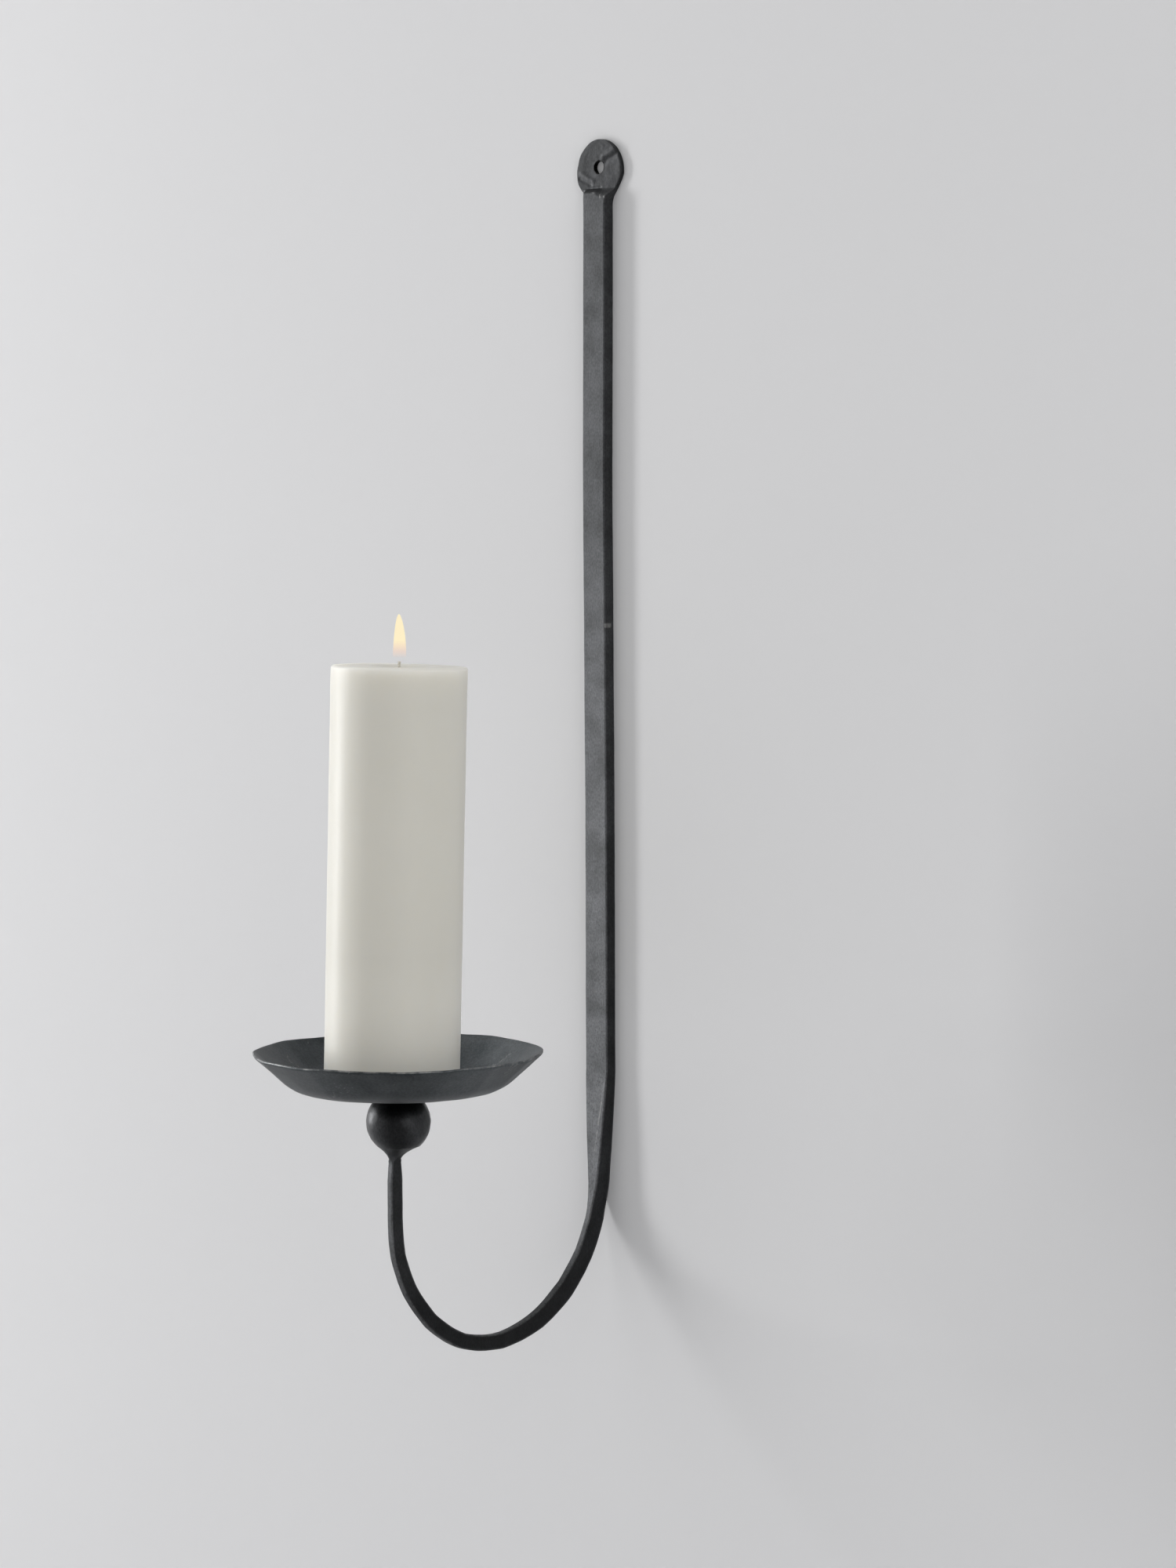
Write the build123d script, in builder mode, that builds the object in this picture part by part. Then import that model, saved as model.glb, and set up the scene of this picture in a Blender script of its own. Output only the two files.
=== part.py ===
from build123d import *
from math import cos, pi, radians, sin, sqrt, tan
import os

# Wall candle sconce, forged from one flat iron bar: a hanging eye at the top,
# a straight bar down the wall, and a drawn-out hook that carries a ball, a drip
# pan and a pillar candle. Millimetres. The wall is the plane y = 0, the object
# stands in front of it towards -Y, +Z is up, and the origin is the centre of
# the wall hole at the wall.

# Straight bar
bar_width = 15.5
bar_thick = 7.2
bar_round = 0.5

# Hanging eye, hammered thin at the bar's top
eye_width = 32.3
eye_rise = 15.0
eye_belly = 3.0
eye_drop = 14.0
neck_drop = 20.0
eye_thick = 2.8
shoulder_drop = 11.4
shoulder_length = 3.6
wall_hole_radius = 3.5

# Hook: the bar narrows sideways and deepens, then bends round under the pan
arm_reach = 157.0
bend_drop = 548.0
draw_straight = 61.0
draw_length = 75.0
draw_ease = 1.25
blade_width = 3.5
blade_depth = 11.6
thin_start = 50.0
thin_end = 95.0
limb_depth = 8.3
limb_offset = 2.8
limb_rise = 29.6
limb_taper = 9.0
tip_width = 3.2
tip_depth = 6.5
bend_wander = 2.3
bend_phase = 30.0
draw_sections = 4
bend_sections = 12

# Flare that spreads the tip under the ball, and the tenon into the ball
flare_height = 8.8
flare_radius = 11.2
flare_waist = 0.26
tenon_radius = 2.5
tenon_length = 9.0

# Ball
ball_radius = 16.7
ball_seat_radius = 3.5

# Drip pan
pan_radius = 75.2
pan_floor_radius = 54.0
pan_depth = 18.9
pan_wall = 1.5
pan_knuckle = 5.0

# Candle spike, clamping the pan to the ball
tang_radius = 2.5
tang_length = 9.0
collar_radius = 5.0
collar_height = 1.4
spike_radius = 2.2
spike_height = 34.0
spike_tip_radius = 0.3

# Candle and wick
candle_radius = 35.0
candle_height = 216.8
candle_edge = 1.6
candle_lean = 1.4
candle_heading = 43.0
candle_shift = 3.3
pool_radius = 15.0
pool_depth = 1.6
wick_radius = 0.8
wick_rise = 4.0
wick_foot = 12.0

# Clearances
socket_gap = 0.1
candle_gap = 0.3

# Worked-out places along the bar and hook
eye_flank = (eye_width - bar_width) / 2
draw_top = bend_drop - draw_straight
limb_mid = arm_reach + limb_offset
bend_entry_depth = bar_thick + (blade_depth - bar_thick) * draw_straight / draw_length
bend_radius = (limb_mid - bend_entry_depth / 2) / 2
bend_mid = limb_mid - bend_radius
bend_length = pi * bend_radius
bend_end = draw_straight + bend_length
strip_length = bend_end + limb_rise

# Worked-out heights of the stack on the arm
ball_foot = limb_rise + flare_height - bend_drop
ball_centre = ball_foot + sqrt(ball_radius**2 - flare_radius**2)
pan_base = ball_centre + sqrt(ball_radius**2 - ball_seat_radius**2)
pan_floor = pan_base + pan_wall
candle_base = pan_floor + candle_gap

arm_axis = Axis((0, -arm_reach, 0), (0, 0, 1))
arm_section = Plane((0, -arm_reach, 0), x_dir=(1, 0, 0), z_dir=(0, -1, 0))


def level_on_arm(height):
    """Horizontal plane on the axis of the ball, pan and spike."""
    return Plane((0, -arm_reach, height))


def blend(start, end, share):
    """Value between start and end, held at the ends."""
    return start + (end - start) * min(max(share, 0), 1)


def bend_distance(angle):
    """Distance along the strip where the bend has turned by an angle in degrees."""
    return draw_straight + bend_length * angle / 180


def strip_width(distance):
    """Sideways width of the hook's strip, along its length."""
    if distance < draw_length:
        return blend(bar_width, blade_width, (distance / draw_length) ** draw_ease)
    return blend(blade_width, tip_width, (distance - draw_length) / (strip_length - draw_length))


def strip_depth(distance):
    """Depth of the hook's strip in the plane of the bend, along its length."""
    if distance < draw_length:
        return blend(bar_thick, blade_depth, distance / draw_length)
    if distance < bend_end:
        thin_from = bend_distance(thin_start)
        thinned = (distance - thin_from) / (bend_distance(thin_end) - thin_from)
        return blend(blade_depth, limb_depth, thinned)
    return blend(tip_depth, limb_depth, (strip_length - distance) / limb_taper)


def strip_plane(distance):
    """Plane square to the strip's middle line, along its length."""
    if distance <= draw_straight:
        middle = (0, -strip_depth(distance) / 2, -draw_top - distance)
        return Plane(middle, x_dir=(1, 0, 0), z_dir=(0, 0, -1))
    if distance >= bend_end:
        return Plane((0, -limb_mid, distance - bend_end - bend_drop))
    turned = (distance - draw_straight) / bend_radius
    phase = 2 * radians(bend_phase)
    radius = bend_radius + bend_wander * (cos(2 * turned + phase) - cos(phase))
    middle = (0, radius * cos(turned) - bend_mid, -bend_drop - radius * sin(turned))
    return Plane(middle, x_dir=(1, 0, 0), z_dir=(0, -sin(turned), -cos(turned)))


def strip_stations():
    """Distances along the strip where its section is drawn."""
    drawn = [draw_straight * section / draw_sections for section in range(draw_sections + 1)]
    bent = [bend_distance(180 * section / bend_sections) for section in range(1, bend_sections)]
    risen = [bend_end, strip_length - limb_taper, strip_length]
    return drawn + bent + risen


# Wall bar: eye, bar, hook, flared neck and tenon, one forging
with BuildPart() as wall_bar:
    # Side view: thin eye, sloped shoulder, full bar
    with BuildSketch(Plane.YZ):
        with BuildLine():
            Polyline(
                (0, eye_rise),
                (-eye_thick, eye_rise),
                (-eye_thick, -shoulder_drop),
                (-bar_thick, -shoulder_drop - shoulder_length),
                (-bar_thick, -draw_top),
                (0, -draw_top),
                close=True,
            )
        make_face()
    extrude(amount=eye_width, both=True)
    # Front view: egg-shaped eye, widest below the hole. Its left flank is cut in short at the
    # bar, and its right flank sweeps down into it.
    with BuildSketch(Plane.XZ):
        with BuildLine():
            crown = eye_rise + eye_belly
            jowl = eye_drop - eye_belly
            EllipticalCenterArc((0, -eye_belly), eye_width / 2, crown, start_angle=0, arc_size=180)
            left_middle = (-bar_width / 2, -eye_belly)
            left = EllipticalCenterArc(left_middle, eye_flank, jowl, start_angle=180, arc_size=90)
            neck = (bar_width / 2, -neck_drop)
            belly = (eye_width / 2, -eye_belly)
            right = Spline(neck, belly, tangents=((0, 1), (0, 1)))
            Line(left @ 1, right @ 0)
        make_face()
        Rectangle(bar_width, draw_top, align=(Align.CENTER, Align.MAX))
        Circle(wall_hole_radius, mode=Mode.SUBTRACT)
    extrude(amount=2 * bar_thick, both=True, mode=Mode.INTERSECT)
    long_edges = edges().filter_by(Axis.Z).filter_by(lambda edge: edge.length > draw_top / 2)
    fillet(long_edges, bar_round)
    # Hook: the drawn strip, from the bar's section to the slim tip under the ball
    for station in strip_stations():
        with BuildSketch(strip_plane(station)):
            RectangleRounded(strip_width(station), strip_depth(station), bar_round)
    loft()
    # Flare from the slim tip to the round seat under the ball
    for share, spread in ((0, 0), (0.5, flare_waist), (1, 1)):
        middle = (0, -blend(limb_mid, arm_reach, spread), ball_foot - flare_height * (1 - share))
        with BuildSketch(Plane(middle)):
            RectangleRounded(
                blend(tip_width, 2 * flare_radius, spread),
                blend(tip_depth, 2 * flare_radius, spread),
                blend(bar_round, flare_radius - socket_gap, spread),
            )
    loft()
    # Tenon into the ball
    with BuildSketch(level_on_arm(ball_foot)):
        Circle(tenon_radius)
    extrude(amount=tenon_length)
wall_bar.part.label = "wall_bar"

# Ball knop, flat where the flare and the pan seat on it
with BuildPart() as ball_knop:
    with BuildSketch(arm_section):
        with BuildLine():
            lower = Line((0, ball_foot), (flare_radius, ball_foot))
            girth = ThreePointArc(lower @ 1, (ball_radius, ball_centre), (ball_seat_radius, pan_base))
            Polyline(girth @ 1, (0, pan_base), lower @ 0)
        make_face()
    revolve(axis=arm_axis)
    with BuildSketch(level_on_arm(ball_foot)):
        Circle(tenon_radius + socket_gap)
    extrude(amount=tenon_length + socket_gap, mode=Mode.SUBTRACT)
    with BuildSketch(level_on_arm(pan_base)):
        Circle(tang_radius + socket_gap)
    extrude(amount=-tang_length + pan_wall - socket_gap, mode=Mode.SUBTRACT)
ball_knop.part.label = "ball_knop"

# Drip pan: a sheet dish with a flat floor that curves up into a sloped side, and a hole for the spike's tang
with BuildPart() as drip_pan:
    with BuildSketch(arm_section):
        with BuildLine():
            FilletPolyline(
                (tang_radius + socket_gap, pan_base),
                (pan_floor_radius, pan_base),
                (pan_radius, pan_base + pan_depth),
                radius=pan_knuckle,
            )
            offset(amount=pan_wall, side=Side.LEFT)
        make_face()
    revolve(axis=arm_axis)
drip_pan.part.label = "drip_pan"

# Pricket: tang through the pan into the ball, collar on the pan, spike into the candle
with BuildPart() as pricket:
    with BuildSketch(arm_section):
        with BuildLine():
            Polyline(
                (0, pan_floor - tang_length),
                (tang_radius, pan_floor - tang_length),
                (tang_radius, pan_floor),
                (collar_radius, pan_floor),
                (collar_radius, pan_floor + collar_height),
                (spike_radius, pan_floor + collar_height),
                (spike_tip_radius, pan_floor + spike_height),
                (0, pan_floor + spike_height),
                close=True,
            )
        make_face()
    revolve(axis=arm_axis)
pricket.part.label = "pricket"

# Candle axis: stuck on the spike a little off centre and leaning
lean = radians(candle_lean)
heading = radians(candle_heading)
candle_foot = Plane(
    (-candle_shift * cos(heading), -arm_reach - candle_shift * sin(heading), candle_base),
    x_dir=(cos(lean) * cos(heading), cos(lean) * sin(heading), -sin(lean)),
    z_dir=(sin(lean) * cos(heading), sin(lean) * sin(heading), cos(lean)),
)
spike_hole_radius = spike_radius + candle_gap
spike_hole_depth = spike_height + candle_gap
wick_start = spike_hole_depth + wick_foot

# Candle: a leaning pillar with a flat base, a melt pool, a spike hole and a wick hole
with BuildPart() as candle:
    base_overrun = candle_radius * tan(lean)
    with BuildSketch(candle_foot.offset(-base_overrun)):
        Circle(candle_radius)
    extrude(amount=candle_height + base_overrun)
    fillet(edges().group_by(Axis.Z)[-1], candle_edge)
    with BuildSketch(candle_foot.offset(candle_height - pool_depth)):
        Circle(pool_radius - pool_depth)
    with BuildSketch(candle_foot.offset(candle_height)):
        Circle(pool_radius)
    loft(mode=Mode.SUBTRACT)
    with BuildSketch(candle_foot.offset(wick_start)):
        Circle(wick_radius + socket_gap)
    extrude(amount=candle_height, mode=Mode.SUBTRACT)
    split(bisect_by=Plane.XY.offset(candle_base), keep=Keep.TOP)
    with BuildSketch(level_on_arm(candle_base)):
        Circle(spike_hole_radius)
    extrude(amount=spike_hole_depth, mode=Mode.SUBTRACT)
    with BuildSketch(level_on_arm(candle_base)):
        Circle(collar_radius + candle_gap)
    extrude(amount=collar_height + candle_gap, mode=Mode.SUBTRACT)
candle.part.label = "candle"

# Wick, standing in the candle's wick hole
with BuildPart() as wick:
    with BuildSketch(candle_foot.offset(wick_start)):
        Circle(wick_radius)
    extrude(amount=candle_height - wick_start - pool_depth + wick_rise)
wick.part.label = "wick"

os.makedirs("parts", exist_ok=True)
for piece in (wall_bar, ball_knop, drip_pan, pricket, candle, wick):
    export_step(piece.part, f"parts/{piece.part.label}.step")
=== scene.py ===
from collections import namedtuple
from math import cos, exp, pi, radians, sin, tau

import bmesh
import bpy
import numpy as np
from mathutils import Matrix, Vector, noise


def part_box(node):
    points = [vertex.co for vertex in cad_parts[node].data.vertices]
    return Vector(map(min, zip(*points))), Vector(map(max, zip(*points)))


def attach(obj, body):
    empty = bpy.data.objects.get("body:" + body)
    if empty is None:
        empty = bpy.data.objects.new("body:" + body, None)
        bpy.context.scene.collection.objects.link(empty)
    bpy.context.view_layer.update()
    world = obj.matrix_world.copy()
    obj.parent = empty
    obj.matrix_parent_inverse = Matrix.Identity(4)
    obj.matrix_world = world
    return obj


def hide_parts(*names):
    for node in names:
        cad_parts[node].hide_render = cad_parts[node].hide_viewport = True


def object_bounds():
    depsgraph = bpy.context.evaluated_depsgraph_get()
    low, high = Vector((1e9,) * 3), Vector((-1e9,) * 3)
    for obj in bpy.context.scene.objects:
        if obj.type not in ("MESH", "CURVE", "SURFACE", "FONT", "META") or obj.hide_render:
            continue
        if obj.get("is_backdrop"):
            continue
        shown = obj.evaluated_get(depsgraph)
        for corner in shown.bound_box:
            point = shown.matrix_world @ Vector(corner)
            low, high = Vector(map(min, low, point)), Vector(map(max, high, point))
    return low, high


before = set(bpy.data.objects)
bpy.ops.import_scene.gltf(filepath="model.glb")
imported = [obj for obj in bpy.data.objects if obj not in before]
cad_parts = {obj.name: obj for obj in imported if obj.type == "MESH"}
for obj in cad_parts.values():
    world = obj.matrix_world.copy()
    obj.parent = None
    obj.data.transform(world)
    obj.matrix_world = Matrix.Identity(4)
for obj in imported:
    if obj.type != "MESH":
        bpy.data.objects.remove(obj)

bl_info = {
    "name": "Forged candle wall sconce",
    "version": (1, 0, 0),
    "blender": (4, 5, 0),
    "location": "3D View > Sidebar > Sconce",
    "description": "Builds the forged bar, ball, drip pan, spike, candle, wick and flame on the CAD frame",
    "category": "Object",
}

MM = 0.001
CAD_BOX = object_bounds()
BAR_LOW, BAR_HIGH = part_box("wall_bar")
BALL_LOW, BALL_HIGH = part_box("ball_knop")
PAN_LOW, PAN_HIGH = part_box("drip_pan")
SPIKE_LOW, SPIKE_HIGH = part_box("pricket")
CANDLE_LOW, CANDLE_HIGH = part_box("candle")
WICK_LOW, WICK_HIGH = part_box("wick")

# The upright axis that the ball, the pan and the spike share
ARM = Vector(((PAN_LOW.x + PAN_HIGH.x) / 2, (PAN_LOW.y + PAN_HIGH.y) / 2, 0))
ARM_REACH = -ARM.y

# Direction across the view along which the ball and the pan are painted lighter towards both ends, the pan
# most at this end
PAINTED_HIGHLIGHT_AXIS = Vector((cos(radians(43)), sin(radians(43)), 0))

ACROSS = Vector((1, 0, 0))
UP = Vector((0, 0, 1))
OFF_WALL = Vector((0, -1, 0))
WELD = 0.001 * MM
SHARP_EDGE = radians(38)


def linear(hex_colour):
    """Linear colour, with full alpha, of an sRGB hex colour."""
    shares = [int(hex_colour[place:place + 2], 16) / 255 for place in (0, 2, 4)]
    curved = [share / 12.92 if share <= 0.04045 else ((share + 0.055) / 1.055) ** 2.4 for share in shares]
    return curved + [1.0]


# Sizes and colours

class BarSettings(bpy.types.PropertyGroup):
    """Forged bar, from the hanging eye to the flare, and the ball on it."""
    bar_width: bpy.props.FloatProperty(
        name="Bar width", description="Width of the straight bar", default=15.5 * MM, unit="LENGTH")
    bar_thick: bpy.props.FloatProperty(
        name="Bar thickness", description="Thickness of the straight bar", default=7.2 * MM, unit="LENGTH")
    corner: bpy.props.FloatProperty(
        name="Corner", description="Rounding of the bar's long edges", default=0.45 * MM, unit="LENGTH")
    eye_belly: bpy.props.FloatProperty(
        name="Eye belly", description="Hole to the eye's widest place", default=3.0 * MM, unit="LENGTH")
    eye_drop: bpy.props.FloatProperty(
        name="Eye drop", description="Hole to the foot of the eye's left flank",
        default=14.0 * MM, unit="LENGTH")
    neck_drop: bpy.props.FloatProperty(
        name="Neck drop", description="Hole to the foot of its swept right flank",
        default=20.0 * MM, unit="LENGTH")
    eye_thick: bpy.props.FloatProperty(
        name="Eye thickness", description="Thickness of the hammered eye", default=2.8 * MM, unit="LENGTH")
    shoulder_drop: bpy.props.FloatProperty(
        name="Shoulder drop", description="Hole to the shoulder's top", default=11.4 * MM, unit="LENGTH")
    shoulder_length: bpy.props.FloatProperty(
        name="Shoulder length", description="Length of the sloped shoulder", default=3.6 * MM, unit="LENGTH")
    hole_radius: bpy.props.FloatProperty(
        name="Hole radius", description="Radius of the punched wall hole", default=3.5 * MM, unit="LENGTH")
    bow: bpy.props.FloatProperty(
        name="Bow", description="How far the straight bar bows to the left", default=0.8 * MM, unit="LENGTH")
    bow_place: bpy.props.FloatProperty(
        name="Bow place", description="Height at which the bar bows", default=-180.0 * MM, unit="LENGTH")
    bend_drop: bpy.props.FloatProperty(
        name="Bend drop", description="Hole to the start of the bend", default=548.0 * MM, unit="LENGTH")
    draw_straight: bpy.props.FloatProperty(
        name="Drawn straight", description="Drawn-out length above the bend",
        default=61.0 * MM, unit="LENGTH")
    draw_length: bpy.props.FloatProperty(
        name="Drawn length", description="Length over which the bar narrows",
        default=75.0 * MM, unit="LENGTH")
    draw_ease: bpy.props.FloatProperty(
        name="Drawing ease", description="How late the bar narrows, 1 is evenly", default=1.25)
    blade_width: bpy.props.FloatProperty(
        name="Blade width", description="Sideways width of the drawn strip", default=3.5 * MM, unit="LENGTH")
    blade_depth: bpy.props.FloatProperty(
        name="Blade depth", description="Depth of the strip into the bend", default=11.6 * MM, unit="LENGTH")
    thin_start: bpy.props.FloatProperty(
        name="Thinning start", description="Turn where the strip thins", default=radians(50), subtype="ANGLE")
    thin_end: bpy.props.FloatProperty(
        name="Thinning end", description="Turn where the strip is slim", default=radians(95), subtype="ANGLE")
    limb_depth: bpy.props.FloatProperty(
        name="Limb depth", description="Depth of the rising limb", default=8.3 * MM, unit="LENGTH")
    limb_offset: bpy.props.FloatProperty(
        name="Limb offset", description="Limb's middle in front of the ball's axis",
        default=2.8 * MM, unit="LENGTH")
    limb_rise: bpy.props.FloatProperty(
        name="Limb rise", description="Straight length of the rising limb", default=29.6 * MM, unit="LENGTH")
    limb_taper: bpy.props.FloatProperty(
        name="Limb taper", description="Tapered length under the flare", default=9.0 * MM, unit="LENGTH")
    tip_width: bpy.props.FloatProperty(
        name="Tip width", description="Sideways width under the flare", default=3.2 * MM, unit="LENGTH")
    tip_depth: bpy.props.FloatProperty(
        name="Tip depth", description="Depth under the flare", default=6.5 * MM, unit="LENGTH")
    bend_wander: bpy.props.FloatProperty(
        name="Bend wander", description="How uneven the bend is", default=2.3 * MM, unit="LENGTH")
    bend_phase: bpy.props.FloatProperty(
        name="Bend phase", description="Where the bend is widest", default=radians(30), subtype="ANGLE")
    bend_flat: bpy.props.FloatProperty(
        name="Bend flat", description="Depth of the hammered flat in the rising bend",
        default=1.2 * MM, unit="LENGTH")
    facet: bpy.props.FloatProperty(
        name="Bend facets", description="Depth of the small flats round the bend",
        default=0.3 * MM, unit="LENGTH")
    flare_height: bpy.props.FloatProperty(
        name="Flare height", description="Height of the flare", default=8.8 * MM, unit="LENGTH")
    flare_radius: bpy.props.FloatProperty(
        name="Flare radius", description="Radius of the seat under the ball",
        default=11.2 * MM, unit="LENGTH")
    tenon_radius: bpy.props.FloatProperty(
        name="Tenon radius", description="Radius of the tenon in the ball", default=2.5 * MM, unit="LENGTH")
    tenon_length: bpy.props.FloatProperty(
        name="Tenon length", description="Length of the tenon in the ball", default=9.0 * MM, unit="LENGTH")
    hammer_mark: bpy.props.FloatProperty(
        name="Hammer mark", description="Width of one hammer mark", default=9.0 * MM, unit="LENGTH")
    hammer_depth: bpy.props.FloatProperty(
        name="Hammer depth", description="Depth of a mark on the eye", default=0.3 * MM, unit="LENGTH")
    ball_mark: bpy.props.FloatProperty(
        name="Ball mark", description="Width of one hammer mark on the ball", default=7.0 * MM, unit="LENGTH")
    ball_depth: bpy.props.FloatProperty(
        name="Ball depth", description="Depth of one hammer mark on the ball",
        default=0.22 * MM, unit="LENGTH")


class PanSettings(bpy.types.PropertyGroup):
    """Hammered drip pan and the candle spike in it."""
    floor_radius: bpy.props.FloatProperty(
        name="Floor radius", description="Radius of the flat floor", default=54.0 * MM, unit="LENGTH")
    sheet: bpy.props.FloatProperty(
        name="Sheet", description="Thickness of the sheet", default=1.5 * MM, unit="LENGTH")
    knuckle: bpy.props.FloatProperty(
        name="Knuckle", description="Rounding between floor and side", default=24.0 * MM, unit="LENGTH")
    bore: bpy.props.FloatProperty(
        name="Bore", description="Radius of the hole for the spike's tang", default=2.6 * MM, unit="LENGTH")
    hammer_mark: bpy.props.FloatProperty(
        name="Hammer mark", description="Width of one hammer mark", default=17.0 * MM, unit="LENGTH")
    hammer_depth: bpy.props.FloatProperty(
        name="Hammer depth", description="Depth of one hammer mark", default=0.35 * MM, unit="LENGTH")
    rim_flats: bpy.props.IntProperty(
        name="Rim flats", description="Number of hammered flats round the rim", default=13)
    rim_flat: bpy.props.FloatProperty(
        name="Rim flat", description="Depth of one flat of the rim", default=0.9 * MM, unit="LENGTH")
    rim_wander: bpy.props.FloatProperty(
        name="Rim wander", description="How uneven the rim is", default=0.7 * MM, unit="LENGTH")
    spike_foot: bpy.props.FloatProperty(
        name="Spike foot", description="Radius of the spike at its collar", default=2.2 * MM, unit="LENGTH")
    spike_tip: bpy.props.FloatProperty(
        name="Spike tip", description="Radius of the spike's blunt tip", default=0.3 * MM, unit="LENGTH")
    collar_height: bpy.props.FloatProperty(
        name="Collar height", description="Height of the spike's collar", default=1.4 * MM, unit="LENGTH")
    collar_edge: bpy.props.FloatProperty(
        name="Collar edge", description="Rounding of the collar's edges", default=0.35 * MM, unit="LENGTH")


class CandleSettings(bpy.types.PropertyGroup):
    """Pillar candle, wick and flame."""
    radius: bpy.props.FloatProperty(
        name="Radius", description="Radius of the candle", default=35.0 * MM, unit="LENGTH")
    height: bpy.props.FloatProperty(
        name="Height", description="Height of the candle along its axis", default=216.8 * MM, unit="LENGTH")
    top_edge: bpy.props.FloatProperty(
        name="Top edge", description="Rounding of the top edge", default=1.6 * MM, unit="LENGTH")
    foot_edge: bpy.props.FloatProperty(
        name="Foot edge", description="Rounding of the foot's edge", default=0.7 * MM, unit="LENGTH")
    lean: bpy.props.FloatProperty(
        name="Lean", description="How far the candle leans", default=radians(1.4), subtype="ANGLE")
    heading: bpy.props.FloatProperty(
        name="Heading", description="Direction of the lean, from +X", default=radians(43), subtype="ANGLE")
    shift: bpy.props.FloatProperty(
        name="Shift", description="Foot's middle off the spike's axis", default=3.3 * MM, unit="LENGTH")
    pool_radius: bpy.props.FloatProperty(
        name="Pool radius", description="Radius of the melt pool", default=15.0 * MM, unit="LENGTH")
    pool_depth: bpy.props.FloatProperty(
        name="Pool depth", description="Depth of the melt pool", default=1.6 * MM, unit="LENGTH")
    strand: bpy.props.FloatProperty(
        name="Wick strand", description="Radius of one strand of the wick", default=0.42 * MM, unit="LENGTH")
    strand_pitch: bpy.props.FloatProperty(
        name="Strand pitch", description="Length of one twist of the wick", default=4.2 * MM, unit="LENGTH")
    flame_height: bpy.props.FloatProperty(
        name="Flame height", description="Height of the flame", default=26.6 * MM, unit="LENGTH")
    flame_radius: bpy.props.FloatProperty(
        name="Flame radius", description="Widest radius of the flame", default=3.5 * MM, unit="LENGTH")


class FinishSettings(bpy.types.PropertyGroup):
    """Colours of the finishes."""
    oxide_dark: bpy.props.FloatVectorProperty(
        name="Oxide, dark", description="Dark patches of the iron", size=4, subtype="COLOR",
        default=linear("434445"))
    oxide_light: bpy.props.FloatVectorProperty(
        name="Oxide, light", description="Rubbed patches of the iron", size=4, subtype="COLOR",
        default=linear("565759"))
    sheet_dark: bpy.props.FloatVectorProperty(
        name="Sheet, dark", description="Dark patches of the pan", size=4, subtype="COLOR",
        default=linear("3b3f41"))
    sheet_light: bpy.props.FloatVectorProperty(
        name="Sheet, light", description="Rubbed patches of the pan", size=4, subtype="COLOR",
        default=linear("515456"))
    pit: bpy.props.FloatVectorProperty(
        name="Pit", description="Scale pits in the iron", size=4, subtype="COLOR",
        default=linear("29292b"))
    # Bright steel of worn places, also used for painted glints and highlights
    steel: bpy.props.FloatVectorProperty(
        name="Worn steel", description="Edges worn bright", size=4, subtype="COLOR",
        default=linear("a8a8a6"))
    wax: bpy.props.FloatVectorProperty(
        name="Wax", description="Body of the candle", size=4, subtype="COLOR",
        default=linear("d4d2ca"))
    wax_cloud: bpy.props.FloatVectorProperty(
        name="Wax cloud", description="Cloudy patches in the wax", size=4, subtype="COLOR",
        default=linear("d0cec5"))
    # Painted light: the foot is painted paler than the body
    wax_foot_painted_light: bpy.props.FloatVectorProperty(
        name="Wax foot", description="Paler wax at the foot", size=4, subtype="COLOR",
        default=linear("ebe9e1"))
    cotton: bpy.props.FloatVectorProperty(
        name="Cotton", description="Waxed wick", size=4, subtype="COLOR",
        default=linear("dcd8cc"))
    # Pale tip of the wick: ash, with the flame's glow painted on
    ash_and_glow: bpy.props.FloatVectorProperty(
        name="Ash", description="Glowing, ashy tip of the wick", size=4, subtype="COLOR",
        default=linear("dad6cc"))
    flame: bpy.props.FloatVectorProperty(
        name="Flame", description="Body of the flame", size=4, subtype="COLOR",
        default=linear("fff0c8"))
    flame_foot: bpy.props.FloatVectorProperty(
        name="Flame foot", description="Foot of the flame", size=4, subtype="COLOR",
        default=linear("f6d9c4"))


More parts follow.
